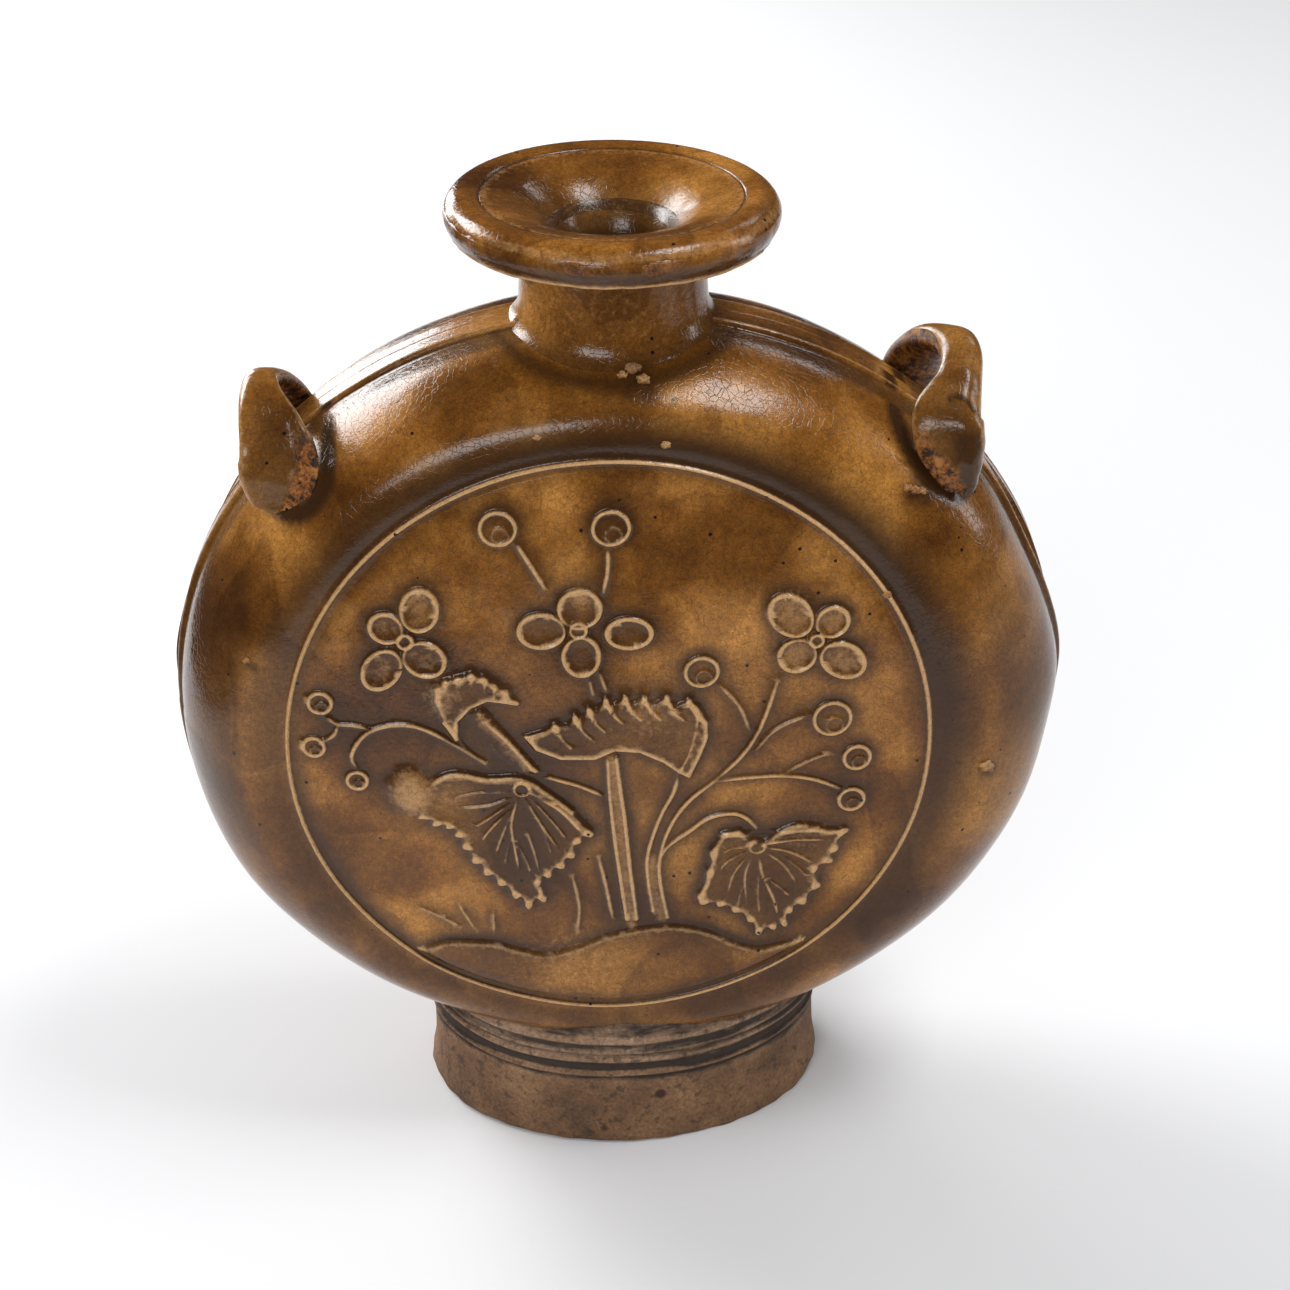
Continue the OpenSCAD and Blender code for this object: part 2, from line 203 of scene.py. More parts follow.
CAP_LEAF = [
    (-38, 15.5), (-37.4, 18.6), (-35.4, 20.6), (-32.6, 21.4), (-29.5, 22.3), (-26.6, 21.2),
    (-24.5, 19.7), (-22, 18), (-20, 14.6), (-23.5, 15.2), (-26.4, 15.6), (-30, 13.8), (-33, 10.4),
    (-33.4, 5.6), (-36, 10),
]
MOUND = [
    (-43, -51.6), (-38, -49.9), (-34, -49.7), (-27, -50.3), (-21, -52.5), (-15.5, -54), (-9.3, -52.4),
    (-1, -48.6), (8, -46.5), (15, -46.5), (22, -48.7), (28, -52.4), (33.7, -54.4), (41, -52.8),
]


def across_petal(x, z, petal):
    """How far each place is from the petal's middle, as a share of the way to its edge"""
    (cx, cz), length, width, way = petal
    a = radians(way)
    u = ((x - cx) * cos(a) + (z - cz) * sin(a)) / length
    v = (-(x - cx) * sin(a) + (z - cz) * cos(a)) / width
    return np.hypot(u, v)


def relief(x, z):
    """Height of the mould's relief in mm over the medallion's swell"""
    base = np.zeros(x.shape)
    lines = np.zeros(x.shape)

    def around(points):
        xs = [p[0] for p in points]
        zs = [p[1] for p in points]
        return (x > min(xs) - 3) & (x < max(xs) + 3) & (z > min(zs) - 3) & (z < max(zs) + 3)

    def line(points, width, height, fade=0.0):
        near = around(points)
        d, t = near_line(x[near], z[near], points)
        ends = 1 - fade + fade * smooth(np.minimum(t, 1 - t) * 5)
        lines[near] = np.maximum(lines[near], height * ends * np.exp(-(d / (0.42 * width)) ** 2))

    def crest(far, width, height):
        nonlocal lines
        lines = np.maximum(lines, height * np.exp(-(far / width) ** 2))

    def bead(cx, cz, reach, height):
        nonlocal lines
        lines = np.maximum(lines, height * np.exp(-((x - cx) ** 2 + (z - cz) ** 2) / reach ** 2))

    def pad(points, height, bowl, soft=0.9):
        near = around(points)
        d = near_line(x[near], z[near], points, True)[0]
        d = np.where(inside(x[near], z[near], points), d, -d)
        rise = smooth(0.5 + d / (2 * soft)) * (height - bowl * smooth(d / 6))
        base[near] = np.maximum(base[near], rise)

    for points, width, height in STALKS:
        line(curve_through(points) if len(points) > 2 else points, width, height, 0.3)
    # The thick stalks are raised between their two edge lines
    pad([(-0.8, 0), (1.4, 0.6), (3, -15), (5.6, -45), (3, -45), (0.5, -21)], 0.4, 0, 0.5)
    pad([(-31, 12), (-27.5, 13.5), (-22, 6), (-15.5, -3), (-19, -3), (-26, 3)], 0.45, 0)
    for petal in PETALS:
        far = (across_petal(x, z, petal) - 1) * (petal[1] + petal[2]) / 2
        base = np.maximum(base, smooth(0.5 - far / 1.2) * (0.62 - 0.3 * smooth(-far / 2.5)))
        crest(far + 0.3, 0.38, 0.45)
    for (cx, cz), r in EYES:
        far = np.hypot(x - cx, z - cz)
        base = np.maximum(base, 0.75 * smooth(0.5 - (far - r) / 0.8))
        crest(far - r + 0.3, 0.4, 0.4)
    for (cx, cz), r in BUDS:
        far = np.hypot(x - cx, (z - cz) * 1.02)
        base = np.maximum(base, 0.35 * smooth(0.5 - (far - r) / 1.0))
        crest(far - r + 0.35, 0.37, 0.48)
        far = np.hypot(x - cx - 0.12 * r, z - cz + 0.35 * r)
        crest(far - 0.42 * r, 0.38, 0.28)

    for outline, eye, veins, teeth in ((LEFT_LEAF, (-19.6, -7.2), LEFT_VEINS, range(8, 24)),
                                       (RIGHT_LEAF, (32.6, -24.8), RIGHT_VEINS, range(2, 19))):
        edge = []
        for i, tip in enumerate(outline):
            edge.append(tip)
            after = outline[(i + 1) % len(outline)]
            if i in teeth and np.hypot(after[0] - tip[0], after[1] - tip[1]) > 2.4:
                middle = ((tip[0] + after[0]) / 2, (tip[1] + after[1]) / 2)
                notch = (middle[0] * 0.94 + eye[0] * 0.06, middle[1] * 0.94 + eye[1] * 0.06)
                edge.append(notch)
                line([tip, notch, after], 1.8, 0.36)
        pad(curve_through(edge + edge[:1], 3), 0.9, 0.5)
        for i in teeth:
            bead(outline[i][0] * 0.97 + eye[0] * 0.03, outline[i][1] * 0.97 + eye[1] * 0.03, 1.45, 0.5)
        line(curve_through([outline[i] for i in range(len(outline)) if i not in teeth]), 1.4, 0.3)
        line([(eye[0] + 1.7 * cos(a), eye[1] + 1.7 * sin(a)) for a in np.arange(0, 6.3, 0.4)], 0.8, 0.45)
        for points, height in veins:
            line(curve_through(points), 0.9, height + 0.06, 0.5)
    pad(FURLED_LEAF, 0.9, 0.35)
    line(FURLED_LEAF[16:] + FURLED_LEAF[:1], 1.3, 0.4)
    line(FURLED_LEAF[:17], 1.0, 0.25)
    for tx, tz in FURLED_LEAF[2:17:2]:
        bead(tx, tz, 1.1, 0.45)
        line(curve_through([(tx, tz), (tx + 1.6, tz - 3.4), (tx + 4.4, tz - 6.6)]), 0.95, 0.4, 0.6)
    line(curve_through([(19, 12), (18.6, 7), (17.4, 2), (15.4, -3)]), 1.0, 0.35)
    pad(CAP_LEAF, 0.95, 0.3)
    line(CAP_LEAF[8:], 1.2, 0.45)
    for tx, tz in CAP_LEAF[1:8]:
        bead(tx, tz, 1.15, 0.32)
        line([(tx, tz), (tx + 0.12 * (-29 - tx), tz - 4)], 0.8, 0.3, 0.6)
    # A lump of clay that the mould left beside the leaf
    far = np.hypot((x + 44.6) / 5.2, (z + 7.6) / 6.4) + 0.1 * np.sin(0.9 * z + 1) * np.sin(0.8 * x)
    base = np.maximum(base, 1.3 * smooth(1.25 - far))
    ground = curve_through(MOUND) + [(60, -52), (60, -80), (-60, -80), (-60, -56)]
    d = near_line(x, z, curve_through(MOUND))[0]
    under = inside(x, z, ground)
    base = np.maximum(base, np.where(under, 0.75 * smooth(0.25 + d / 1.6) - 0.35 * smooth(d / 14),
                                     0.75 * smooth(0.25 - d / 1.6)))
    crest(d, 0.7, 0.2)
    return base + lines


def unevenness(x, z):
    """Slow hollows and swellings that a hand leaves when it presses clay into a mould"""
    return (0.22 * np.sin(x / 13 + 1.3 * np.sin(z / 19)) * np.sin(z / 15 + 0.7)
            + 0.13 * np.sin(x / 7.3 - z / 11 + 2.1) + 0.10 * np.sin(z / 6.1 + x / 17 + 0.4))


def ring(r):
    """The thin raised ring round the medallion, with a shallow groove each side"""
    crest = 0.8 * np.exp(-((r - RING) / 0.43) ** 2)
    return crest - 0.22 * np.exp(-((r - 68.8) / 1.5) ** 2) - 0.25 * np.exp(-((r - 72.3) / 1.2) ** 2)


def medallion_height(x, z):
    """How far the medallion and its ring stand out from the seam, in mm"""
    r = np.hypot(x, z)
    ball = (RING ** 2 + SWELL ** 2) / (2 * SWELL)
    dome = HALF_DEPTH + SWELL - ball + np.sqrt(ball ** 2 - np.minimum(r, RING) ** 2)
    swell = np.where(r < RING, dome, HALF_DEPTH)
    lie = smooth((69.5 - r) / 2)
    return swell + relief(x, z) * lie + ring(r) + unevenness(x, z) * smooth((80 - r) / 12)


def blurred(field, reach):
    """The field with all that is smaller than reach in mm smoothed out of it"""
    f = np.fft.fftfreq(field.shape[0], STEP)
    keep = np.exp(-2 * (pi * reach) ** 2 * (f[:, None] ** 2 + f[None, :] ** 2))
    return np.real(np.fft.ifft2(np.fft.fft2(field) * keep))


def read_field(field, x, z):
    """The grid's value at each place, from the four grid points round it"""
    i = np.clip((x + EDGE) / STEP, 0, field.shape[0] - 2)
    k = np.clip((z + EDGE) / STEP, 0, field.shape[1] - 2)
    i0 = i.astype(int)
    k0 = k.astype(int)
    right = i - i0
    up = k - k0
    return ((1 - right) * (1 - up) * field[i0, k0] + right * (1 - up) * field[i0 + 1, k0]
            + (1 - right) * up * field[i0, k0 + 1] + right * up * field[i0 + 1, k0 + 1])


def corners(obj):
    """The piece's corners, a row each"""
    co = np.empty(len(obj.data.vertices) * 3)
    obj.data.vertices.foreach_get("co", co)
    return co.reshape(-1, 3)


def polar(obj):
    """Each corner's distance from the middle, and its turn round it"""
    co = corners(obj)
    return np.hypot(co[:, 0], co[:, 1]), np.arctan2(co[:, 1], co[:, 0])


def place(obj, co):
    """Put the piece's corners at these places, in metres"""
    obj.data.vertices.foreach_set("co", np.ascontiguousarray(co, dtype=np.float32).ravel())
    obj.data.update()


def mark(obj, name, values):
    """Give each corner a number that the glaze reads: pooled glaze and painted shade, thin glaze and
    painted highlight, or rust
    """
    spot = obj.data.attributes.get(name) or obj.data.attributes.new(name, "FLOAT", "POINT")
    spot.data.foreach_set("value", np.ascontiguousarray(values, dtype=np.float32))


def start_piece(name, primitive, **sizes):
    """Add this primitive by itself, and give the piece its name"""
    bpy.ops.object.select_all(action="DESELECT")
    primitive(**sizes)
    piece = bpy.context.object
    piece.name = name
    piece.data.name = name
    return piece


def disc(name, cells):
    """A grid pressed round, one unit wide each way from the middle"""
    piece = start_piece(name, bpy.ops.mesh.primitive_grid_add, x_subdivisions=cells, y_subdivisions=cells,
                        size=2)
    co = corners(piece)
    wide = np.abs(co[:, 0]) >= np.abs(co[:, 1])
    far = np.where(wide, co[:, 0], co[:, 1])
    safe = np.where(np.abs(far) < 1e-9, 1, far)
    turn = np.where(wide, pi / 4 * co[:, 1] / safe, pi / 2 - pi / 4 * co[:, 0] / safe)
    place(piece, np.c_[far * np.cos(turn), far * np.sin(turn), 0 * far])
    return piece


def grow_rings(count, step):
    """Extrude the selected edge outwards, each ring wider by this share of the first"""
    for k in range(count):
        bpy.ops.mesh.extrude_edges_move()
        grow = (1 + step + step * k) / (1 + step * k)
        bpy.ops.transform.resize(value=(grow, grow, grow), center_override=(0, 0, 0))


def extrude_rings(count):
    """Grow the piece's open edge outwards, and close the last ring"""
    bpy.ops.object.mode_set(mode="EDIT")
    bpy.ops.mesh.select_mode(type="EDGE")
    bpy.ops.mesh.select_all(action="DESELECT")
    bpy.ops.mesh.select_non_manifold()
    grow_rings(count, RING_STEP)
    bpy.ops.mesh.edge_face_add()
    bpy.ops.object.mode_set(mode="OBJECT")


def leaning(turn):
    """From 0 on the side that faces the light to 1 on the side that leans away"""
    return 0.5 + 0.5 * np.sin(turn + 0.5)


# How high each grid point stands, also above its surroundings, and where the relief is finest
grid = np.arange(-EDGE, EDGE, STEP)
gx, gz = np.meshgrid(grid, grid, indexing="ij")
from_middle = np.hypot(gx, gz)
heights = np.where(from_middle < 69.3, relief(gx, gz), 0) + ring(from_middle)
above = heights - blurred(heights, 1.1)
detail = np.minimum(np.abs(heights - blurred(heights, 0.9)), 0.05)
detail = blurred(detail * (from_middle < 68), 0.5)
# The glaze pooled close beside the relief and more faintly round it, mostly on the lower side, and
# inside and outside the ring. Painted shade is added beside the ring: inside it on the side that faces the
# light, and outside it on the side that leans away
shade_side = leaning(np.arctan2(gz, gx))
inwards = RING - from_middle
raised = (heights > 0.22) * (inwards > 1.6) * 1.0
above_mound = inside(gx, gz, [(-80, -52)] + curve_through(MOUND) + [(80, -54), (80, 80), (-80, 80)])
close = 1 - np.exp(-3.8 * blurred(np.roll(raised, 2, axis=1), 1.25))
wide = 1 - np.exp(-2.6 * blurred(np.roll(raised, 8, axis=1), 4.5))
deep = blurred(raised, 1.6) ** 2
hollow = np.clip(0.78 * close + 0.62 * wide - 0.12 - 0.62 * deep * (1 + 0.5 * ~above_mound), 0, 0.95)
# Painted shade inside the ring, strongest on the side that faces the light
hollow = np.maximum(hollow, (inwards > 0.4) * 0.9 * np.exp(-(np.maximum(inwards, 0) / 4) ** 2)
                    * (1 - 0.75 * shade_side))
hollow = np.maximum(hollow, 0.7 * np.exp(-((inwards - 0.4) / 1.3) ** 2))
# Painted shade outside the ring, strongest on the side that leans away from the light
hollow = np.maximum(hollow, (inwards < -0.5) * (0.35 + 0.6 * shade_side))
# The glaze ran off the lump, the thick stalks and the brow of each leaf, and shows the clay there
bare = 0.5 * np.exp(-(np.hypot((gx + 43.8) / 4.4, (gz + 8) / 5.8)) ** 2.5)
for stem in ([(0.3, 0), (1.4, -12), (2.8, -30), (4.3, -46)], [(8.7, -27), (9, -34), (11, -44)],
             [(-28, 11), (-24, 6), (-18, -2)]):
    bare = np.maximum(bare, 0.3 * np.exp(-(near_line(gx, gz, curve_through(stem))[0] / 1.3) ** 4))
for cx, cz, reach, amount in ((-5.8, 39.8, 2.8, 0.36), (38.4, 35.5, 4.5, 0.28), (-39.5, 39, 4, 0.25),
                              (52, 21, 4, 0.2), (-36, 16, 4.5, 0.3), (8, 10, 8, 0.16),
                              (-36, -9, 5, 0.16), (44, -24, 7, 0.14), (-10, -58, 16, 0.14)):
    bare = np.maximum(bare, amount * np.exp(-(np.hypot(gx - cx, gz - cz) / reach) ** 2))
for petal in PETALS[4:]:
    amount = 0.26 if petal[0][0] > 0 else 0.17
    bare = np.maximum(bare, amount * np.exp(-(across_petal(gx, gz, petal) / 0.85) ** 4))
hollow = blurred(hollow * (1 - np.clip(bare * 1.6, 0, 1)), 0.2)
crests = np.clip(blurred(above, 0.18) * 3.6 - 0.2, 0, 1)
crests = np.maximum(crests, blurred(bare, 0.5))

# Each medallion was pressed with its shell and is the same clay. It is modelled by itself, as a disc
# whose FINE_FACES faces closest to the relief are divided, with its edge sunk behind the shell's.
FINE_FACES = 3450
front_relief = disc("front_medallion", 104)
middles = np.empty(len(front_relief.data.polygons) * 3)
front_relief.data.polygons.foreach_get("center", middles)
middles = middles.reshape(-1, 3) * BRIM
wanted = read_field(detail, middles[:, 0], middles[:, 1])
bpy.ops.object.mode_set(mode="EDIT")
bpy.ops.mesh.select_mode(type="FACE")
bpy.ops.mesh.select_all(action="DESELECT")
bpy.ops.object.mode_set(mode="OBJECT")
front_relief.data.polygons.foreach_set("select", wanted > np.sort(wanted)[-FINE_FACES])
bpy.ops.object.mode_set(mode="EDIT")
bpy.ops.mesh.subdivide(number_cuts=4)
bpy.ops.object.mode_set(mode="OBJECT")
extrude_rings(2)
rho, turn = polar(front_relief)
skirt = np.round(np.maximum(rho - 1, 0) / RING_STEP)
reach = np.minimum(rho, 1) * BRIM + 0.6 * (skirt == 1) + 1.2 * (skirt == 2)
x = reach * np.cos(turn)
z = reach * np.sin(turn)
y = medallion_height(x, z) - 0.08 * (skirt == 1) - 1.5 * (skirt == 2)
mark(front_relief, "pool", read_field(hollow, x, z))
mark(front_relief, "thin", read_field(crests, x, z))
place(front_relief, np.c_[x + SHIFT, -y, z + CENTRE_Z] * 0.001)
bpy.ops.object.shade_smooth()


def towards_rim(r):
    """From 0 on the flat face to 1 near the rim, where the disc is squat and square to its axis"""
    return smooth((r - FLAT) / 24)


# The shell's own rings go from the medallion's edge over the shoulder, the ridge and the band to the
# seam, and then back along the inside of the wall. Each is a radius and a distance from the seam.
RINGS = [(r, HALF_DEPTH) for r in (67.5, 68.1, 68.7, 69.3, 69.6, 69.8, 70, 70.15, 70.3, 70.4, 70.5, 70.6,
                                   70.7, 70.85, 71, 71.2, 71.5, 71.9, 72.4, 73)]
RINGS += [(FLAT + ROUND * sin(a), BAND + FALL * cos(a)) for a in np.radians(np.linspace(0, 90, 25)[1:])]
SHOULDER = len(RINGS)
RINGS += [(99.25, 6.1), (99.8, 5.85), (100.25, 5.5), (100.35, 5.15), (100.22, 4.8), (100.15, 4.3),
          (100.18, 3.2), (100.22, 1.8), (100.24, 0.7), (100.24, 0.1), (100.22, 0)]
OUTSIDE = len(RINGS)
RINGS += [(94, 0)]
RINGS += [(67 + 27 * sin(a), 27 * cos(a)) for a in np.radians((80, 60, 40, 20, 0))]
RINGS += [(40, 28), (12, 28.5)]
front = start_piece("front_body", bpy.ops.mesh.primitive_circle_add, vertices=600, radius=1,
                    fill_type="NGON")
extrude_rings(len(RINGS))
rho, turn = polar(front)
index = np.round((rho - 1) / RING_STEP).astype(int)
table = np.array([(66.6, HALF_DEPTH)] + RINGS)
k = np.clip(index, 0, len(RINGS))
r = table[k, 0]
half = table[k, 1]
rimward = towards_rim(r)
rimward[index > OUTSIDE] = 1
# The wall ripples a little, and the rim bulges on the left and is pressed in on the right
ripple = unevenness(r * np.cos(turn), r * np.sin(turn))
bulge = (1.3 * np.exp(-((turn + 2.55) / 0.4) ** 2) - 0.9 * np.exp(-((turn - 0.42) / 0.16) ** 2)
         + 0.8 * np.exp(-((turn - 0.08) / 0.12) ** 2)) * smooth((r - 85) / 14) * (index < OUTSIDE)
r = r + 0.6 * ripple * (index < OUTSIDE) * (r > 74) + bulge
x = r * np.cos(turn) + SHIFT * (1 - rimward)
z = (1 - SQUAT * rimward) * r * np.sin(turn)
y = np.where(r < FLAT + 0.2, medallion_height(x - SHIFT, z), half)
y = y - 0.9 * (index < 1) - 0.18 * (index == 1) - 0.08 * (index == 2)
y = y + 0.5 * ripple * ((index < SHOULDER) & (r > 74)) * smooth((half - 6) / 10)
y[index > OUTSIDE] = half[index > OUTSIDE]
shade_side = leaning(turn)
# Outside the ring the glaze gathered, with painted shade added on the side that leans away from the light.
# The left side is painted dark as a painted dark reflection, and the shell is also darker towards its right
# edge
pool = np.exp(-(np.maximum(r - FLAT, 0) / 8.5) ** 2) * (0.45 + 0.5 * shade_side)
side = np.exp(-((np.abs(turn) - 3.1) / 0.5) ** 2) * smooth((r - 78) / 8)
pool = np.maximum(pool, 0.62 * side)
pool = np.maximum(pool, 0.5 * np.exp(-((turn - 0.1) / 0.5) ** 2) * smooth((r - 80) / 8))
pool = np.where(r < FLAT, read_field(hollow, x - SHIFT, z), pool)
thin = np.where(r < FLAT, read_field(crests, x - SHIFT, z), 0)
# The glaze also gathered in the groove round the foot of each lug
GROOVES = (
    [(-80, 173), (-78, 169), (-72.3, 166.6), (-66, 168.3), (-61.5, 173.5), (-60.6, 179), (-62.6, 185)],
    [(78.6, 172.5), (76.6, 168), (73.5, 166.3), (67.4, 169.4), (62, 176), (59.2, 182.5), (59.8, 187)],
)
for groove in GROOVES:
    off = near_line(x, z + CENTRE_Z, curve_through(groove))[0]
    pool = np.maximum(pool, np.exp(-(off / 1.7) ** 4) * (index < OUTSIDE))
    y = y - 0.5 * np.exp(-(off / 1.2) ** 2) * (r < 99) * (r > 80)
ridge_side = (index >= SHOULDER - 3) & (index <= SHOULDER + 1)
pool[ridge_side] = 0.55
thin[(index >= SHOULDER + 3) & (index <= SHOULDER + 4)] = 0.3
# It gathered beside the crumbs of clay too, each given as x, z and size, and round the neck's foot
CRUMBS = [(9.5, 185, 1), (-80.2, 135.4, 0.9), (-16.7, 187.1, 0.9), (81, 103, 1.7), (56.7, 149, 0.9),
          (60.3, 171.2, 1.2), (62.2, 170.6, 1.1), (64, 169.8, 1), (3.2, 197.4, 1.7), (5.4, 196.2, 1.3),
          (1.2, 196.6, 1.1)]
for cx, cz, reach in CRUMBS:
    off = np.hypot(x - cx - 1, z + CENTRE_Z - cz + 1.4)
    pool = np.maximum(pool, 0.85 * np.exp(-(off / (1.7 * reach)) ** 2) * (index < SHOULDER + 1))
off = np.hypot(x, y)
pool = np.maximum(pool, 0.75 * np.exp(-((off - 26) / 2.2) ** 2) * (z > 80) * (index < SHOULDER + 2))
place(front, np.c_[x, -y, z + CENTRE_Z] * 0.001)
mark(front, "pool", pool)
mark(front, "thin", thin)
bpy.ops.object.shade_smooth()

# The throat's hole was cut through the top of the joined shells, before the neck went on over it
drill = start_piece("drill", bpy.ops.mesh.primitive_cylinder_add, vertices=96, radius=0.0098, depth=0.03,
                    location=(0, 0, 0.2))
cut = front.modifiers.new("hole", "BOOLEAN")
cut.operation = "DIFFERENCE"
cut.object = drill
bpy.context.view_layer.objects.active = front
bpy.ops.object.modifier_apply(modifier="hole")
bpy.data.objects.remove(drill)


def read_mark(obj, name):
    """Each corner's number under this name"""
    values = np.zeros(len(obj.data.vertices), np.float32)
    obj.data.attributes[name].data.foreach_get("value", values)
    return values


# The bored hole and the shell round its edge are painted near black, as painted shade inside the throat
bored = polar(front)[0] < 0.0115
mark(front, "pool", np.where(bored, 1, read_mark(front, "pool")))


def turned_round(piece, name):
    """The same piece for the back, turned half a turn about the flask's axis"""
    other = piece.copy()
    other.data = piece.data.copy()
    other.name = other.data.name = name
    bpy.context.scene.collection.objects.link(other)
    place(other, corners(piece) * (-1, -1, 1))
    return other


# The crumbs are bits of the same clay that stuck to the wet shoulders and were glazed over with them:
# small squashed lumps, rough all over, with the glaze thin on top and dark underneath.
lumps = []
surface = np.c_[x, y, z + CENTRE_Z][index < SHOULDER + 1]
for cx, cz, reach in CRUMBS:
    lump = start_piece("lump", bpy.ops.mesh.primitive_ico_sphere_add, subdivisions=4, radius=1)
    co = corners(lump)
    a, b, c = co.T
    rough = (1 + 0.16 * np.sin(5 * a + 3 * b + cx) + 0.12 * np.sin(7 * c - 4 * a + cz)
             + 0.08 * np.sin(13 * b + 9 * c))
    nearest = surface[np.argmin(np.hypot(surface[:, 0] - cx, surface[:, 2] - cz))]
    place(lump, (co * rough[:, None] * (reach, 0.75 * reach, 0.8 * reach) + (cx, -nearest[1], cz)) * 0.001)
    mark(lump, "thin", 0.55 + 0.45 * c)
    mark(lump, "pool", np.clip(-1.2 * c - 0.1, 0, 0.9))
    mark(lump, "rust", np.full(len(co), 0.5))
    lumps.append(lump)
bpy.ops.object.select_all(action="DESELECT")
for lump in lumps:
    lump.select_set(True)
bpy.ops.object.join()
crumbs = bpy.context.object
crumbs.name = crumbs.data.name = "clay_crumbs"
bpy.ops.object.shade_smooth()

# The back shell came from the same mould, so its body and medallion are the front ones turned round
back = turned_round(front, "back_body")
back_relief = turned_round(front_relief, "back_medallion")
# Behind, the straps come down narrower, and the glaze gathered closer round their ends
x, y, z = corners(back).T * 1000
pool = read_mark(back, "pool")
for groove, leg, reach in ((GROOVES[0], [(67, 188), (67, 170)], 7.2),
                           (GROOVES[1], [(-72.3, 186), (-71.8, 166.5)], 6.2)):
    off = near_line(x, z, curve_through([(-px, pz) for px, pz in groove]))[0]
    pool = np.where((y > 8) & (off < 4), np.minimum(pool, 0.12), pool)
    off = near_line(x, z, leg)[0]
    pool = np.maximum(pool, (y > 8) * np.exp(-((off - reach) / 1.5) ** 2) * smooth((186 - z) / 10))
mark(back, "pool", pool)


def paint(material):
    """Short ways to add nodes to a material"""
    tree = material.node_tree

    def add(kind, inputs=None, **settings):
        made = tree.nodes.new("ShaderNode" + kind)
        for key, value in settings.items():
            setattr(made, key, value)
        for key, value in (inputs or {}).items():
            socket = made.inputs[key]
            if isinstance(value, bpy.types.NodeSocket):
                tree.links.new(value, socket)
            else:
                socket.default_value = (*value, 1) if socket.type == "RGBA" else value
        return made

    def noise(where, scale, detail, roughness=0.5, distortion=0):
        return add("TexNoise", {"Vector": where, "Scale": scale, "Detail": detail, "Roughness": roughness,
                                "Distortion": distortion}).outputs["Fac"]

    def marked(name):
        return add("Attribute", attribute_name=name).outputs["Fac"]

    def ramp(value, *stops):
        made = add("ValToRGB", {"Fac": value})
        while len(made.color_ramp.elements) < len(stops):
            made.color_ramp.elements.new(0.5)
        for element, (at, tone) in zip(made.color_ramp.elements, stops):
            element.position = at
            element.color = (*tone, 1) if isinstance(tone, tuple) else (tone, tone, tone, 1)
        return made.outputs["Color"]

    def mix(a, b, amount, how="MIX"):
        return add("Mix", {0: amount, 6: a, 7: b}, data_type="RGBA", blend_type=how).outputs[2]

    def math(how, a, b, c=0.5):
        return add("Math", {0: a, 1: b, 2: c}, operation=how).outputs[0]

    def waver(value, uneven, amount):
        return math("MULTIPLY_ADD", math("SUBTRACT", uneven, 0.5), amount, value)

    def bump(height, strength, distance, **under):
        inputs = {"Height": height, "Strength": strength, "Distance": distance, **under}
        return add("Bump", inputs).outputs[0]

    return add, noise, marked, ramp, mix, math, waver, bump


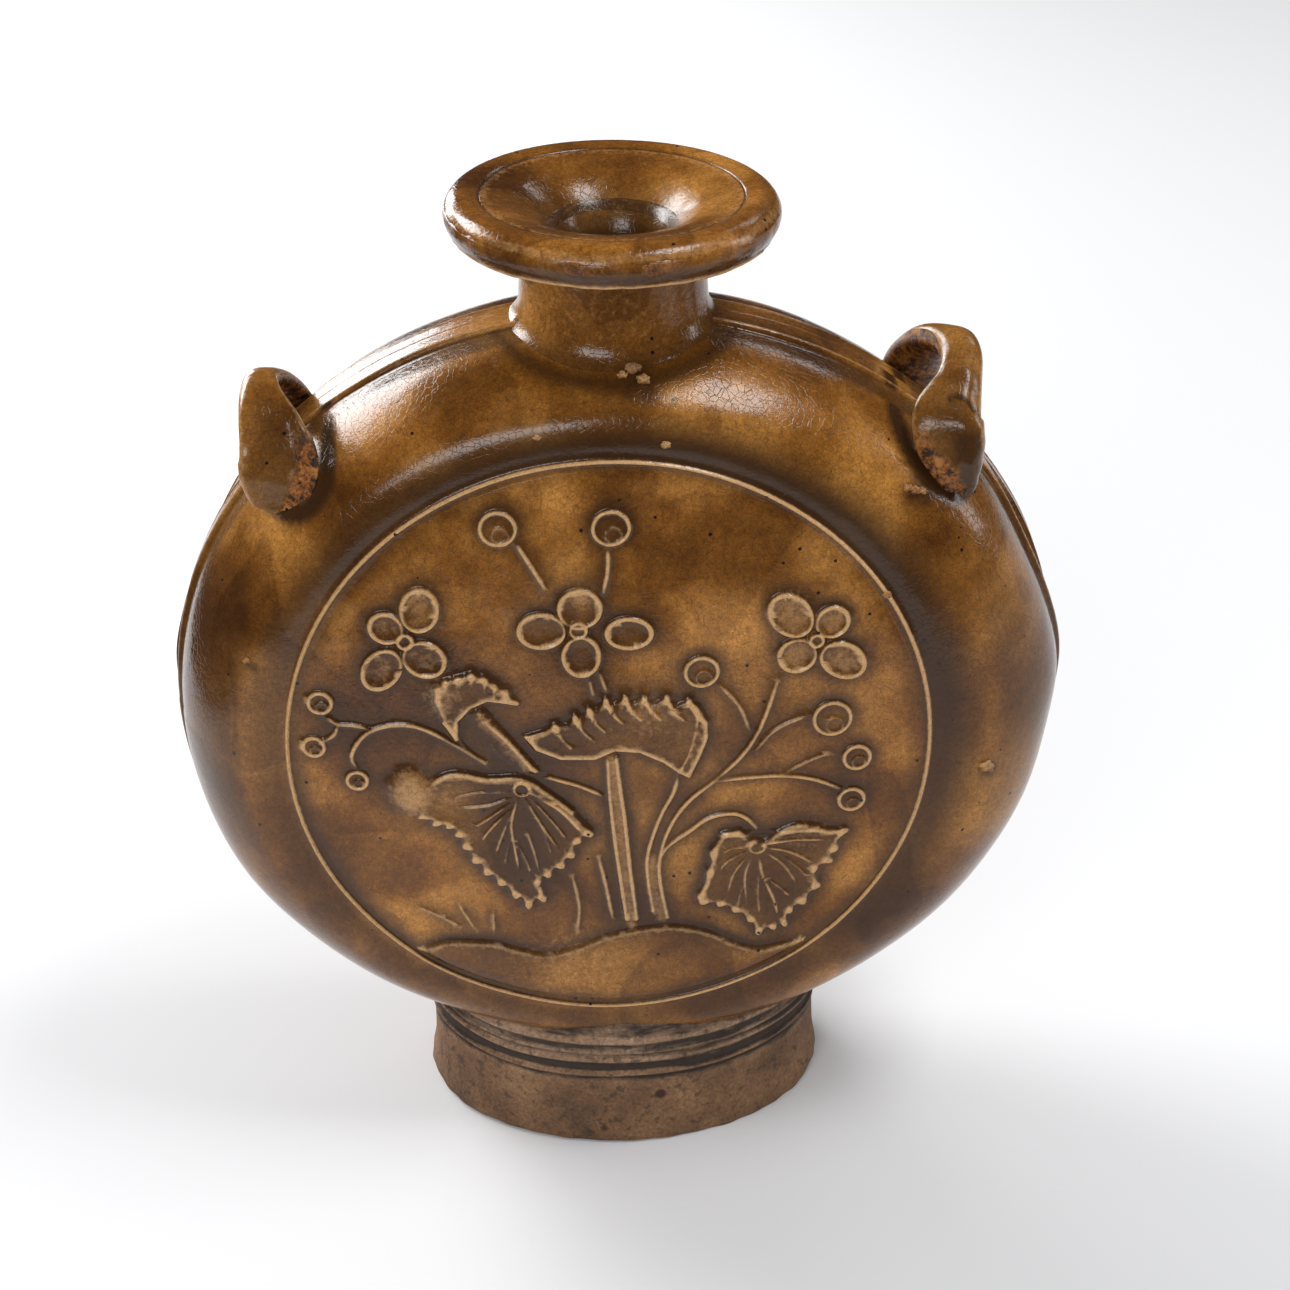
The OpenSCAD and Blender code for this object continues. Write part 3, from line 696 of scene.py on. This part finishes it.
def brown_glaze():
    """Tea-brown glaze: amber where thin and where a highlight is painted, near black where it pooled and
    where shade is painted, freckled and finely crazed
    """
    material = bpy.data.materials.new("brown_glaze")
    material.use_nodes = True
    add, noise, marked, ramp, mix, math, waver, bump = paint(material)
    shader = material.node_tree.nodes["Principled BSDF"]
    link = material.node_tree.links.new
    where = add("TexCoord").outputs["Object"]
    # Amber and brown clouds, speckled finely, and darker where the glaze ran
    clouds = noise(where, 38, 3)
    grain = noise(where, 700, 4, 0.7)
    sand = noise(where, 2300, 2, 0.6)
    tone = ramp(clouds, (0.3, (0.075, 0.025, 0.004)), (0.48, (0.21, 0.078, 0.0105)),
                (0.66, (0.485, 0.211, 0.041)))
    tone = mix(tone, ramp(grain, (0.3, 0.5), (0.7, 1.5)), 0.55, "MULTIPLY")
    tone = mix(tone, ramp(sand, (0.3, 0.5), (0.7, 1.5)), 0.5, "MULTIPLY")
    sunk = add("Mapping", {"Vector": where, "Scale": (1, 1, 0.7)}).outputs[0]
    runs = noise(sunk, 30, 2, 0.45, 0.5)
    tone = mix(tone, (0.5, 0.44, 0.4), ramp(runs, (0.545, 0), (0.556, 0.55), (0.7, 0.1)), "MULTIPLY")
    # Near black where it pooled and where shade is painted, and the pale clay where it is thin and where a
    # highlight is painted, both with a wavering edge
    dark = ramp(waver(marked("pool"), clouds, 0.35), (0, 0), (0.42, 0.52), (0.9, 0.95))
    tone = mix(tone, (0.034, 0.0148, 0.0056), dark)
    pale = ramp(waver(marked("thin"), grain, 0.6), (0.12, 0), (0.75, 0.95))
    tone = mix(tone, (0.6, 0.35, 0.155), pale)
    # A rusty crust in patches
    crumbs = noise(where, 420, 6, 0.75)
    crust = ramp(crumbs, (0.43, (0.016, 0.009, 0.006)), (0.51, (0.26, 0.08, 0.013)),
                 (0.6, (0.46, 0.19, 0.045)))
    patchy = noise(where, 170, 2)
    crusted = ramp(waver(marked("rust"), patchy, 0.9), (0.25, 0), (0.75, 0.9))
    tone = mix(tone, crust, crusted)
    # Scattered iron freckles, and the fine lines of the crazing
    cells = add("TexVoronoi", {"Vector": where, "Scale": 260})
    picked = math("GREATER_THAN", add("SeparateColor", {"Color": cells.outputs["Color"]}).outputs[0], 0.8)
    freckle = math("MULTIPLY", picked, math("LESS_THAN", cells.outputs["Distance"], 0.11))
    tone = mix(tone, (0.012, 0.008, 0.007), freckle)
    craze = add("TexVoronoi", {"Vector": where, "Scale": 650}, feature="DISTANCE_TO_EDGE")
    craze = ramp(craze.outputs["Distance"], (0, 0), (0.045, 1))
    tone = mix(tone, (0.03, 0.014, 0.007), math("MULTIPLY", math("SUBTRACT", 1, craze), 0.48))
    link(tone, shader.inputs["Base Color"])
    link(ramp(clouds, (0.3, 0.09), (0.7, 0.24)), shader.inputs["Roughness"])
    shader.inputs["IOR"].default_value = 1.42
    # The skin of the glaze: slow waves, orange peel and crazing, crust, and a pit at each freckle
    skin = bump(noise(where, 160, 3), 0.12, 0.0012)
    peel = noise(where, 1500, 2)
    skin = bump(math("MULTIPLY_ADD", craze, 0.8, peel), 0.15, 0.0002, Normal=skin)
    skin = bump(math("MULTIPLY", crumbs, crusted), 0.9, 0.0014, Normal=skin)
    skin = bump(math("SUBTRACT", 1, freckle), 0.5, 0.0004, Normal=skin)
    link(skin, shader.inputs["Normal"])
    return material


glaze = brown_glaze()
crumbs.data.materials.append(glaze)
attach(crumbs, "root")
for pressed, node in ((front, "front_shell"), (front_relief, "front_ornament"), (back, "back_shell"),
                      (back_relief, "back_ornament")):
    pressed.data.materials.append(glaze)
    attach(pressed, "root")
    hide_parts(node)


# The foot is a thrown ring of the bare buff clay, pressed to an oval and luted under the body.
# Three pairs of fine lines were turned below its top, and the glaze stops above them in a wavy line.
FOOT_DEPTH = 35 / 48  # the foot's depth for its width, outside
HOLLOW_DEPTH = 28 / 41  # and inside


def body_low(x, y):
    """Height of the body's underside over a place, in mm"""
    s = np.sqrt(np.clip(1 - (np.clip(np.abs(y) - BAND, 0, FALL) / FALL) ** 2, 0, 1))
    r = np.where(np.abs(y) < 5.5, 100, FLAT + ROUND * s)
    return CENTRE_Z - (1 - SQUAT * towards_rim(r)) * np.sqrt(np.maximum(r * r - x * x, 1))


def ringed(name, steps, count):
    """Rings round one another, with steps corners each, and each corner's ring and turn"""
    piece = start_piece(name, bpy.ops.mesh.primitive_circle_add, vertices=steps, radius=1)
    bpy.ops.object.mode_set(mode="EDIT")
    bpy.ops.mesh.select_all(action="SELECT")
    grow_rings(count - 1, 1)
    bpy.ops.object.mode_set(mode="OBJECT")
    rho, turn = polar(piece)
    return piece, np.clip(np.round(rho - 1).astype(int), 0, count - 1), turn


def lathe(name, rings, steps):
    """A piece thrown on the wheel, from its profile of radius and height in mm"""
    piece, k, turn = ringed(name, steps, len(rings))
    table = np.array(rings)
    return piece, k, table[k, 0], turn, table[k, 1]


def close_up(join):
    """Close the piece's open rings with this operator, and turn all faces outwards"""
    bpy.ops.object.mode_set(mode="EDIT")
    bpy.ops.mesh.select_all(action="DESELECT")
    bpy.ops.mesh.select_non_manifold()
    join()
    bpy.ops.mesh.select_all(action="SELECT")
    bpy.ops.mesh.normals_make_consistent(inside=False)
    bpy.ops.object.mode_set(mode="OBJECT")
    bpy.ops.object.shade_smooth()


def read_off(values, *pairs):
    """Each value read off a line through these pairs of value and amount"""
    return np.interp(values, *zip(*pairs))


foot_rings = [(47.2, 0), (47.9, 0.5), (48.3, 1.6), (48.1, 3.4), (47.6, 6), (47.2, 9), (47, 13), (46.9, 17),
              (46.8, 18.6), (46.7, 19.2), (46.4, 19.5), (46.9, 19.9), (47.3, 20.4), (47.2, 20.9),
              (46.5, 21.3), (46.7, 22.2), (46.6, 23.2), (46.3, 23.6), (46.9, 24), (47.4, 24.5),
              (47.2, 25.1), (46.5, 25.5), (46.7, 26.4), (47, 26.8), (46.6, 27.3), (46.4, 28.6), (46.5, 29),
              (47.1, 29.5), (47.3, 30.1), (46.9, 30.6), (46.4, 31), (46.3, 31.8), (46.2, 32.4),
              (45.8, 33.2), (45, 34.4), (43.5, 39)]
inner_rings = [(39, 39), (39.2, 20), (40, 6), (41, 1), (42.5, 0), (45, 0)]
foot, k, r, turn, z = lathe("foot", foot_rings + inner_rings, 240)
r = r + (0.25 * np.sin(3 * turn + 1) + 0.12 * np.sin(7 * turn + z / 6)) * (z > 0.3)
r = r + (0.22 * np.sin(17 * turn) * np.sin(5 * turn + 1) + 0.15 * np.sin(37 * turn + 2)) * np.exp(-z / 2.5)
z = z + 0.35 * np.sin(2 * turn + 2.2) * ((z > 17) & (z < 36))
outside = k < len(foot_rings)
x = r * np.cos(turn)
y = r * np.where(outside, FOOT_DEPTH, HOLLOW_DEPTH) * np.sin(turn)
# Glaze and dirt lie in the turned lines, by height in mm
turned = read_off(z, (17.5, 0.1), (19.4, 0.75), (19.7, 0.5), (20.4, 0), (21, 0.35), (21.6, 0.8),
                  (22.6, 0.75), (23.5, 0.6), (24.4, 0.05), (25.1, 0.3), (25.8, 0.7), (26.6, 0.25),
                  (27.4, 0.55), (28.8, 0.6), (29.2, 0.5), (30.1, 0), (31, 0.5), (32, 0.6), (34, 0.5))
mark(foot, "pool", turned * outside)
place(foot, np.c_[x, y, np.minimum(z, body_low(x, y) + 3)] * 0.001)
close_up(bpy.ops.mesh.bridge_edge_loops)


def bare_clay():
    """Unglazed buff stoneware: fine sand, toasted patches, iron spots and dark glaze smears"""
    material = bpy.data.materials.new("bare_clay")
    material.use_nodes = True
    add, noise, marked, ramp, mix, math, waver, bump = paint(material)
    shader = material.node_tree.nodes["Principled BSDF"]
    link = material.node_tree.links.new
    where = add("TexCoord").outputs["Object"]
    sand = noise(where, 1200, 4, 0.7)
    coarse = noise(where, 420, 3, 0.6)
    toast = noise(where, 60, 5, 0.6)
    height = add("SeparateXYZ", {"Vector": where}).outputs["Z"]
    high = add("MapRange", {"Value": height, "From Min": 0.016, "From Max": 0.027}).outputs[0]
    low_tone = ramp(toast, (0.3, (0.082, 0.041, 0.018)), (0.5, (0.17, 0.084, 0.036)),
                    (0.72, (0.27, 0.143, 0.064)))
    high_tone = ramp(toast, (0.3, (0.18, 0.098, 0.052)), (0.7, (0.37, 0.232, 0.14)))
    tone = mix(low_tone, high_tone, high)
    tone = mix(tone, ramp(sand, (0.32, 0.35), (0.68, 1.6)), 0.6, "MULTIPLY")
    tone = mix(tone, (0.028, 0.016, 0.01), math("MULTIPLY", ramp(coarse, (0.56, 0), (0.66, 1)), 0.6))
    # Smears of glaze, drawn out round the foot, are thickest in the turned lines
    stretch = add("Mapping", {"Vector": where, "Scale": (45, 45, 260)}).outputs[0]
    smear = noise(stretch, 1, 6, 0.7)
    smeared = ramp(waver(marked("pool"), smear, 1.5), (0.3, 0), (0.62, 0.93))
    tone = mix(tone, (0.02, 0.011, 0.007), smeared)
    spots = add("TexVoronoi", {"Vector": where, "Scale": 120})
    few = math("GREATER_THAN", add("SeparateColor", {"Color": spots.outputs["Color"]}).outputs[1], 0.93)
    iron = math("MULTIPLY", few, ramp(spots.outputs["Distance"], (0.12, 1), (0.2, 0)))
    tone = mix(tone, (0.045, 0.012, 0.006), iron)
    link(tone, shader.inputs["Base Color"])
    shader.inputs["Roughness"].default_value = 0.78
    link(bump(coarse, 0.5, 0.0012, Normal=bump(sand, 0.6, 0.0005)), shader.inputs["Normal"])
    return material


foot.data.materials.append(bare_clay())
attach(foot, "root")
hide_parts("foot_ring")


# The neck is a short thrown tube of the same clay, luted over the hole in the shells and smoothed
# down on them by thumb, so that its base spreads a little and follows the shoulder.
NECK_TOP = 219.4
THROAT_LOW = 203
INSIDE = 16
# Radius, and the share of the way to NECK_TOP: from the shoulder, and from THROAT_LOW past ring INSIDE
neck_rings = [(27.5, -0.1), (26, -0.04), (24.9, 0), (23.8, 0.012), (22.7, 0.03), (21.8, 0.06),
              (21.1, 0.1), (20.5, 0.165), (20.2, 0.25), (20.05, 0.4), (19.95, 0.6), (20, 0.76),
              (20.2, 0.86), (20.8, 0.94), (22.5, 1), (22, 1.1), (12, 1.1), (12.4, 0.2), (12.4, -0.3)]
neck, k, r, turn, up = lathe("thrown_neck", neck_rings, 192)
x = r * np.cos(turn)
y = r * np.sin(turn)
base = 2 * CENTRE_Z - body_low(x, y) - 0.6
base[k >= INSIDE] = THROAT_LOW
place(neck, np.c_[x, y, base + up * (NECK_TOP - base)] * 0.001)
close_up(bpy.ops.mesh.bridge_edge_loops)
# Pooled glaze round the neck's foot; at the top under the dish, and inside the neck, the glaze is painted
# near black as painted shade
mark(neck, "pool", read_off(k, (0, 0.75), (2, 0.8), (3, 0.7), (4, 0.45), (6, 0.25), (8, 0.08), (11, 0.05),
                            (13, 0.8)))
mark(neck, "thin", read_off(k, (0, 0), (4, 0.02), (5, 0.04), (6, 0.06), (8, 0.1), (12, 0.1)))
neck.data.materials.append(glaze)
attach(neck, "root")
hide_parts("neck")

# The mouth is a dish with a rolled rim, thrown of the same clay and luted on the neck. A groove was
# turned inside the roll, a burr hangs uneven from its lower edge, and the funnel opens into the throat.
dish_rings = [(20, 218.6), (24, 218.9), (29, 219.2), (32.3, 219.3), (33.5, 219.5), (33.95, 219.9),
              (33.9, 220.3), (34.1, 220.7), (34.6, 221.4), (35, 222.2), (35.2, 223.1), (35.25, 224),
              (35.1, 224.9), (34.7, 225.8), (34.1, 226.6), (33.3, 227.25), (32.4, 227.7), (31.4, 227.95),
              (30.4, 228), (29.4, 227.85), (28.5, 227.6), (27.95, 227.4), (27.75, 227.2), (27.6, 227.05),
              (27.45, 227.15), (27.2, 227.25), (26.8, 227.2)]
FUNNEL = len(dish_rings)
dish_rings += [(9.5 + 17 * (1 - cos(a)), 211.5 + 15.5 * sin(a) ** 1.15)
               for a in np.radians(np.linspace(84, 3, 26))]
dish_rings += [(9.5, 209), (9.6, 204), (12.3, 203.4)]
mouth, k, r, turn, up = lathe("thrown_mouth", dish_rings, 240)
burr = (k >= 3) & (k <= 6)
ragged = 0.35 * np.sin(9 * turn + 1) + 0.25 * np.sin(23 * turn) + 0.2 * np.sin(41 * turn + 2)
r = r + np.where(burr, 0.5 * ragged, 0.12 * np.sin(2 * turn + 1))
up = up + np.where(burr, 0.4 * ragged, 0)
# The dish was set on a little aslant
up = up - np.where(r > 20, 0.012 * r * np.cos(turn), 0)
place(mouth, np.c_[r * np.cos(turn), r * np.sin(turn), up] * 0.001)
close_up(bpy.ops.mesh.bridge_edge_loops)
# The funnel is painted darker the deeper it goes towards the throat, as painted shade
depth = np.clip((225.5 - up) / 13, 0, 1)
# Under the dish and on the lower face of the roll the glaze is painted near black as painted shade; the
# groove inside the roll is darker with pooled glaze
rolled = read_off(k, (0, 0.8), (3, 0.7), (4, 0.2), (6, 0.2), (7, 0.8), (9, 0.72), (10, 0.5), (12, 0.12),
                  (13, 0), (20, 0), (22, 0.5), (24, 0.5), (25, 0.1))
mark(mouth, "pool", np.where(k >= FUNNEL, 0.14 + 0.78 * depth, rolled))
# The pale band on the upper outer face of the roll, at rings 13 and 14, is a painted highlight
mark(mouth, "thin", read_off(k, (2, 0), (3, 0.3), (4, 0.7), (5, 0.7), (6, 0.2), (7, 0), (12, 0), (13, 0.24),
                             (14, 0.24), (15, 0.06), (24, 0), (25, 0.2), (26, 0.2), (27, 0.05), (40, 0.05),
                             (48, 0)))
mark(mouth, "rust", read_off(k, (8, 0), (10, 0.34), (12, 0.34), (13, 0)))
mouth.data.materials.append(glaze)
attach(mouth, "root")
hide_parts("mouth_dish")


# Each lug is a strap of clay, pressed on the front shoulder, arched over the rim and pressed down
# behind it, for a carrying cord. The thumb left a wide tongue in front, hollow on the left lug,
# whose edge curled over, while the right one cracked as it was bent.
STRAP_STEPS = 56


def strap(name, node, stations, hollow, curl):
    """A strap through its stations, hollow by this much, and with one edge curled by this much, in mm"""
    spread = [curve_through([(row[c], row[c]) for row in stations], 7) for c in range(6)]
    line = np.array([[p[0] for p in column] for column in spread]).T
    rings = len(line)
    ways = np.gradient(line[:, :3], axis=0)
    ways /= np.linalg.norm(ways, axis=1)[:, None]
    piece, k, turn = ringed(name, STRAP_STEPS, rings)
    x, y, z, half, thick, twist = line[k].T
    across = np.c_[np.cos(np.radians(twist)), np.sin(np.radians(twist)), 0 * twist]
    along = ways[k]
    across -= (across * along).sum(1)[:, None] * along
    across /= np.linalg.norm(across, axis=1)[:, None]
    out = np.cross(across, along)
    # u runs from -1 to 1 over the width, v over the thickness in mm, and t from 0 in front to 1 behind
    c = np.cos(turn)
    s = np.sin(turn)
    u = np.sign(c) * np.abs(c) ** 0.8
    v = np.sign(s) * np.abs(s) ** 0.9 * thick / 2
    t = k / (rings - 1)
    dip = np.where(s > 0, s, 0) * read_off(t, (0, 0), (0.08, 1), (0.25, 1), (0.45, 0.3), (0.55, 0)) * hollow
    lift = curl * read_off(t, (0, 0), (0.06, 0.3), (0.2, 1), (0.42, 1), (0.6, 0))
    lift = lift * np.clip((u - 0.45) / 0.55, 0, 1) ** 1.5
    v = v - dip * (1 - u * u) + lift
    lumps = 0.22 * np.sin(x * 0.7 + z * 0.4) * np.sin(z * 0.5 + y * 0.45 + 1 + 1.5 * u)
    spot = line[k, :3] + across * (u * half)[:, None] + out * (v + lumps * (s > 0))[:, None]
    place(piece, spot * 0.001)
    close_up(bpy.ops.mesh.fill)
    # Underneath, the strap is painted dark as painted shade. The glaze is dark in the hollow, with a dark
    # patch and the crack across the right strap
    front_end = np.clip(1 - t / 0.42, 0, 1)
    dark = 0.65 * (s < -0.2) + 0.3 * np.clip(dip, 0, 1) * (1 - u * u) + 0.2 + 0.15 * front_end
    low = 0
    if curl < 0:
        dark += 0.1 + 0.5 * smooth((u + 0.1) / 0.5) * smooth((0.36 - t) / 0.1)
        dark += 2 * np.exp(-((t - 0.43 - 0.015 * np.sin(5 * u)) / 0.006) ** 2) * (u > -0.1)
        low = smooth((0.32 - t) / 0.2)
    mark(piece, "pool", np.clip(dark, 0, 0.85))
    mark(piece, "thin", 0.35 * np.clip(1 - np.abs(np.abs(u) - 0.95) / 0.15, 0, 1) * (s > -0.1))
    # Rust on the outward half of the tongue, and on the leg behind
    outward = u if curl > 0 else -u
    tongue = smooth((outward - 0.05 + 0.45 * low) / 0.7) * smooth(front_end * 2.4) * (s > -0.6)
    behind = 0.62 * smooth((t - 0.5) / 0.15) * (s < 0.3)
    mark(piece, "rust", np.maximum(tongue, np.maximum(behind, 0.3 * front_end * (curl < 0))))
    piece.data.materials.append(glaze)
    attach(piece, "root")
    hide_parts(node)


# Each station is x, y, z, half width, thickness, and how far its width turns towards Y in degrees
LEFT_STATIONS = [
    (-72.3, -22.3, 167, 1, 2.6, 4), (-72.3, -22.8, 168.2, 3.6, 4.2, 5), (-72.2, -23.2, 170.4, 6, 4.8, 6),
    (-71.6, -23.2, 174, 7.8, 5, 8), (-71.1, -22.4, 178.4, 8.3, 5, 10), (-72, -20.6, 182.3, 7.2, 5, 12),
    (-73.4, -17.6, 185.6, 5.9, 4.8, 14), (-74.7, -13.2, 188.2, 4.6, 4.8, 16),
    (-75.2, -8, 189.4, 3.8, 4.8, 18), (-74.6, -3, 188.4, 3.7, 4.8, 14), (-73.6, 2.5, 185.4, 4.3, 4.8, 8),
    (-72.6, 7.5, 180.8, 5.1, 4.8, 4), (-72, 12, 175.6, 5.8, 5, 0), (-71.8, 16.2, 169.6, 6.2, 5, 0),
    (-71.8, 19, 164.5, 5, 4, 0),
]
RIGHT_STATIONS = [
    (73.8, -22.2, 167.2, 1, 2.8, 0), (73.7, -22.7, 168.6, 2.8, 4.6, 0), (72.6, -23.2, 171, 4.6, 5.6, -4),
    (71.6, -23.4, 174, 5.9, 6, -6), (70.6, -23.2, 177.4, 7, 6, -8), (69.6, -22, 181.2, 7.6, 6, -10),
    (69.6, -19.8, 184.6, 7.4, 6, -12), (71.2, -16.6, 187.4, 6, 6.2, -12), (73, -12.4, 190, 4.7, 6.4, -14),
    (73.9, -7, 192, 4.4, 6.6, -18), (73.2, -1, 192.6, 4.5, 6.6, -24), (71, 5, 190.8, 4.8, 6.4, -24),
    (68.6, 10.5, 186.8, 5.6, 6, -16), (67.2, 15, 181.4, 6.6, 5.6, -8), (67, 18.4, 175.2, 7.2, 5.2, 0),
    (67, 21, 167.5, 5.5, 4.4, 0),
]
strap("left_strap", "left_lug", LEFT_STATIONS, 1.7, 2.6)
strap("right_strap", "right_lug", RIGHT_STATIONS, 1.5, -2.2)


# The flask stands on pale paper under soft studio lights. Only the paper close by shows in the
# glaze: past its edges the studio was dark, which left the shoulders free of haze.
paper = bpy.data.materials.new("paper")
paper.use_nodes = True
coat = paper.node_tree.nodes["Principled BSDF"]
coat.inputs["Base Color"].default_value = (0.74, 0.74, 0.75, 1)
coat.inputs["Roughness"].default_value = 0.95
coat.inputs["Specular IOR Level"].default_value = 0.1
for name, x0, x1, y0, y1 in (("paper", -0.34, 1.0, -0.34, 1.2), ("paper_front", -2, 2, -2, -0.34),
                             ("paper_left", -2, -0.34, -0.34, 1.2), ("paper_right", 1.0, 2, -0.34, 1.2),
                             ("paper_back", -2, 2, 1.2, 2)):
    sheet = start_piece(name, bpy.ops.mesh.primitive_plane_add, size=1)
    place(sheet, corners(sheet) * (x1 - x0, y1 - y0, 1) + ((x0 + x1) / 2, (y0 + y1) / 2, 0))
    sheet.data.materials.append(paper)
    sheet.visible_glossy = name == "paper"


def softbox(name, stand, aim, size, power):
    """A lamp behind a white cloth of this size in metres, on its stand and turned to its aim"""
    light = bpy.data.lights.new(name, "AREA")
    light.shape = "RECTANGLE"
    light.size, light.size_y = size
    light.energy = power
    lamp = bpy.data.objects.new(name, light)
    bpy.context.scene.collection.objects.link(lamp)
    look = Vector(aim) - Vector(stand)
    lamp.matrix_world = Matrix.Translation(stand) @ look.to_track_quat("-Z", "Y").to_matrix().to_4x4()


softbox("back_card", (-0.62, 1.1, 0.36), (0, 0, 0.18), (0.5, 0.45), 6)
softbox("back_left", (-0.95, 0.75, 0.85), (0, 0, 0.1), (0.7, 0.5), 16)
softbox("overhead", (0.42, -0.1, 1.1), (0, 0, 0.1), (0.4, 0.3), 4.6)
softbox("front_fill", (-0.5, -1.3, 0.8), (0, 0, 0.1), (0.8, 0.5), 8)
softbox("right", (1.1, 0.1, 0.5), (0, 0, 0.12), (0.25, 0.6), 2)
softbox("paper_wash", (0.9, 1.3, 1.3), (0.7, 1.3, 0), (0.5, 0.5), 2.2)
world = bpy.data.worlds.new("studio")
world.use_nodes = True
sky = world.node_tree
path = sky.nodes.new("ShaderNodeLightPath")
dim = sky.nodes.new("ShaderNodeMapRange")
dim.inputs["To Min"].default_value = 0.42
dim.inputs["To Max"].default_value = 0.05
sky.links.new(path.outputs["Is Glossy Ray"], dim.inputs["Value"])
sky.nodes["Background"].inputs["Color"].default_value = (0.96, 0.98, 1, 1)
sky.links.new(dim.outputs[0], sky.nodes["Background"].inputs["Strength"])
bpy.context.scene.world = world
bpy.context.scene.view_settings.view_transform = "Standard"
